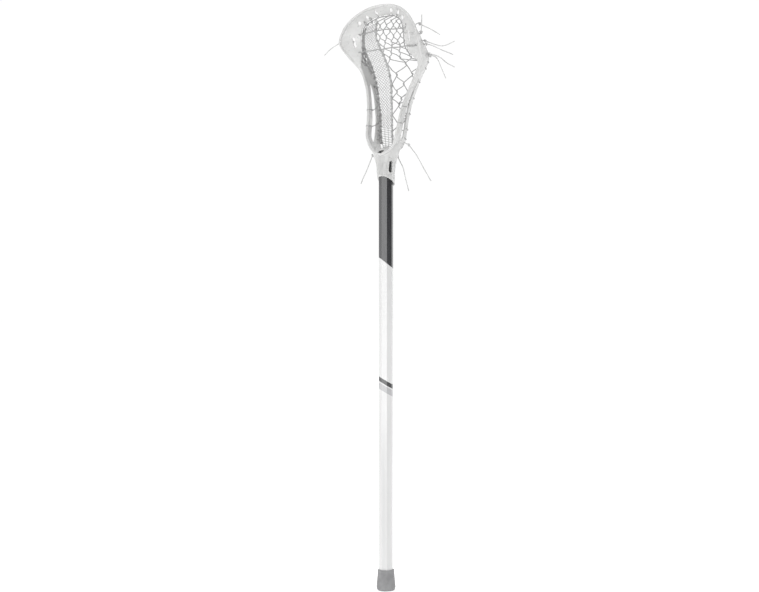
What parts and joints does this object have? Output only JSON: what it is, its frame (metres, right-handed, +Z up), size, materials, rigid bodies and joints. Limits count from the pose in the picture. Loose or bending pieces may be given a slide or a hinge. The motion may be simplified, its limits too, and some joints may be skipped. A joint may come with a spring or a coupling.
{
  "type": "lacrosse stick",
  "caption": "Women's lacrosse stick: moulded open head with a shallow strung pocket and free string ends, on an octagonal hollow shaft with a flared rubber butt cap",
  "frame": {"origin": "centre of the butt cap's flat bottom", "axes": "+Z up the shaft towards the scoop, -Y out of the head's open face, +X to the right of a viewer who looks along +Y into the face"},
  "size_m": [0.2713, 0.0973, 1.0863],
  "materials": {
    "moulded": "injection-moulded translucent white nylon, satin gloss",
    "shaft": "carbon composite tube, dark woven upper part under clear coat and white painted lower part",
    "rubber": "matt grey moulded rubber",
    "screw": "zinc-plated steel",
    "string": "braided white nylon cord"
  },
  "bodies": {
    "stick": {"head": "moulded", "shaft": "shaft", "runner_mesh": "string", "runner_braid_left": "string", "runner_braid_right": "string", "lattice_left": "string", "lattice_right": "string", "top_string": "string", "sidewall_string_left": "string", "sidewall_string_right": "string", "shooting_string_upper": "string", "shooting_string_lower": "string", "tail_scoop_upper": "string", "tail_scoop_standing": "string", "tail_shooter_high_a": "string", "tail_shooter_high_b": "string", "tail_shooter_low_a": "string", "tail_shooter_low_b": "string", "tail_left_side": "string", "tail_right_low": "string", "tail_throat_right": "string", "tail_throat_left": "string"},
    "cap": {"end_cap": "rubber"},
    "screw": {"head_screw": "screw"}
  },
  "joints": [
    {"name": "cap_pull", "type": "slide", "parent": "stick", "child": "cap", "axis": [0, 0, -1], "range_m": [0, 0.045]},
    {"name": "screw_out", "type": "slide", "parent": "stick", "child": "screw", "axis": [0, 1, 0], "range_m": [0, 0.016]}
  ]
}
